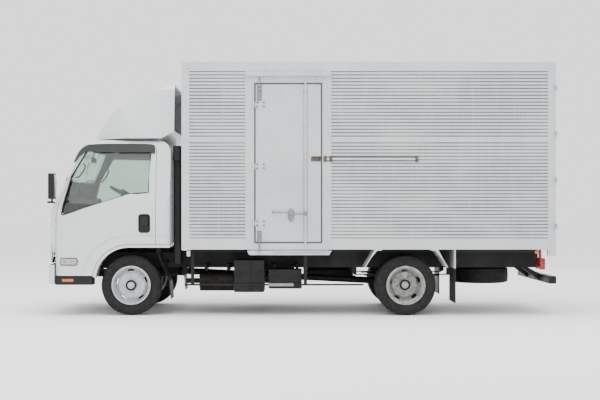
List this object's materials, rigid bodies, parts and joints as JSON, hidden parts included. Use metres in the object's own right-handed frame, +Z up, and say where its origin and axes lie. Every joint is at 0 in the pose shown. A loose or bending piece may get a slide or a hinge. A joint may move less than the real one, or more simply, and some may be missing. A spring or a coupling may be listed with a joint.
{
  "type": "box truck",
  "caption": "Light cab-over box truck with a ribbed steel box body, side and rear doors, roof fairing, tilting cab and twin rear wheels.",
  "frame": {"origin": "on the ground, on the centre line, midway along the length", "axes": "+Z up, the truck faces -X, its left side is -Y"},
  "size_m": [6.223, 2.459, 3.07],
  "materials": {
    "cab_paint": "gloss",
    "box_paint": "semi gloss",
    "box_frame_paint": "worn gloss",
    "chassis_paint": "dusty satin",
    "plywood_floor": "worn",
    "cast_parts": "dusty",
    "wheel_silver": "satin",
    "tyre_rubber": "dusty",
    "black_plastic": "grained",
    "lamp_clear": "clear",
    "lamp_red": "gloss",
    "green_glass": "tinted",
    "dash_plastic": "grained",
    "seat_cloth": "woven"
  },
  "bodies": {
    "truck": {"chassis_frame": "chassis_paint", "engine": "cast_parts", "propshaft": "chassis_paint", "leaf_springs": "chassis_paint", "front_axle": "cast_parts", "rear_axle": "cast_parts", "fuel_tank": "chassis_paint", "battery_box": "black_plastic", "tool_box": "chassis_paint", "muffler": "cast_parts", "side_guards": "box_frame_paint", "side_steps": "black_plastic", "front_mudguards": "black_plastic", "rear_mudguards": "box_frame_paint", "spare_wheel": "tyre_rubber", "underrun_bar": "box_frame_paint", "tail_lamps": "lamp_red", "front_bumper": "cab_paint", "air_intake": "black_plastic", "box_floor": "plywood_floor", "box_frame": "box_frame_paint", "box_left_wall": "box_paint", "box_right_wall": "box_paint", "box_front_wall": "box_paint", "box_roof": "box_paint", "rear_frame": "box_frame_paint", "side_door_frame": "box_frame_paint"},
    "side_door": {"side_door": "box_paint"},
    "rear_door_left": {"rear_door_left": "box_paint"},
    "rear_door_right": {"rear_door_right": "box_paint"},
    "cab": {"cab_shell": "cab_paint", "cab_grille": "black_plastic", "cab_arch_trims": "black_plastic", "cab_glass": "green_glass", "roof_fairing": "cab_paint", "front_lamps": "lamp_clear", "mirrors": "black_plastic", "dashboard": "dash_plastic", "seats": "seat_cloth"},
    "steering_wheel": {"steering_wheel": "black_plastic"},
    "cab_door_left": {"cab_door_left": "cab_paint", "door_glass_left": "green_glass"},
    "cab_door_right": {"cab_door_right": "cab_paint", "door_glass_right": "green_glass"},
    "steer_left": {"front_left_knuckle": "cast_parts"},
    "steer_right": {"front_right_knuckle": "cast_parts"},
    "track_rod": {"track_rod": "cast_parts"},
    "wheel_front_left": {"front_left_wheel": "wheel_silver", "front_left_tyre": "tyre_rubber"},
    "wheel_front_right": {"front_right_wheel": "wheel_silver", "front_right_tyre": "tyre_rubber"},
    "wheel_rear_left": {"rear_left_wheels": "wheel_silver", "rear_left_tyres": "tyre_rubber"},
    "wheel_rear_right": {"rear_right_wheels": "wheel_silver", "rear_right_tyres": "tyre_rubber"}
  },
  "joints": [
    {"name": "cab_tilt", "type": "hinge", "parent": "truck", "child": "cab", "pos_m": [-3.0765, 0, 0.632], "axis": [0, -1, 0], "range_deg": [0, 45]},
    {"name": "cab_door_left_hinge", "type": "hinge", "parent": "cab", "child": "cab_door_left", "pos_m": [-2.9575, -0.9635, 1], "axis": [0, 0, -1], "range_deg": [0, 58]},
    {"name": "cab_door_right_hinge", "type": "hinge", "parent": "cab", "child": "cab_door_right", "pos_m": [-2.9575, 0.9635, 1], "axis": [0, 0, 1], "range_deg": [0, 58]},
    {"name": "side_door_hinge", "type": "hinge", "parent": "truck", "child": "side_door", "pos_m": [-0.5605, -1.064, 1.85], "axis": [0, 0, -1], "range_deg": [0, 170]},
    {"name": "rear_door_left_hinge", "type": "hinge", "parent": "truck", "child": "rear_door_left", "pos_m": [3.0955, -1.062, 1.9], "axis": [0, 0, -1], "range_deg": [0, 270]},
    {"name": "rear_door_right_hinge", "type": "hinge", "parent": "truck", "child": "rear_door_right", "pos_m": [3.0955, 1.062, 1.9], "axis": [0, 0, 1], "range_deg": [0, 270]},
    {"name": "steer_left_turn", "type": "hinge", "parent": "truck", "child": "steer_left", "pos_m": [-2.0575, -0.74, 0.366], "axis": [0, 0, 1], "range_deg": [-35, 35]},
    {"name": "steer_right_turn", "type": "hinge", "parent": "truck", "child": "steer_right", "pos_m": [-2.0575, 0.74, 0.366], "axis": [0, 0, 1], "range_deg": [-35, 35]},
    {"name": "track_rod_pivot", "type": "hinge", "parent": "steer_left", "child": "track_rod", "pos_m": [-1.9375, -0.74, 0.266], "axis": [0, 0, 1], "range_deg": [-35, 35]},
    {"name": "steering_wheel_turn", "type": "hinge", "parent": "cab", "child": "steering_wheel", "pos_m": [-2.3565, 0.37, 1.5], "axis": [0.5, 0, 0.866], "range_deg": [-526, 526]},
    {"name": "wheel_front_left_spin", "type": "hinge", "parent": "steer_left", "child": "wheel_front_left", "pos_m": [-2.0575, -0.83, 0.366], "axis": [0, 1, 0], "continuous": true},
    {"name": "wheel_front_right_spin", "type": "hinge", "parent": "steer_right", "child": "wheel_front_right", "pos_m": [-2.0575, 0.83, 0.366], "axis": [0, 1, 0], "continuous": true},
    {"name": "wheel_rear_left_spin", "type": "hinge", "parent": "truck", "child": "wheel_rear_left", "pos_m": [1.2875, -0.7375, 0.366], "axis": [0, 1, 0], "continuous": true},
    {"name": "wheel_rear_right_spin", "type": "hinge", "parent": "truck", "child": "wheel_rear_right", "pos_m": [1.2875, 0.7375, 0.366], "axis": [0, 1, 0], "continuous": true}
  ],
  "couplings": [
    {"joint": "steer_right_turn", "follows": "steer_left_turn", "ratio": 1},
    {"joint": "track_rod_pivot", "follows": "steer_left_turn", "ratio": -1},
    {"joint": "steering_wheel_turn", "follows": "steer_left_turn", "ratio": 15}
  ]
}
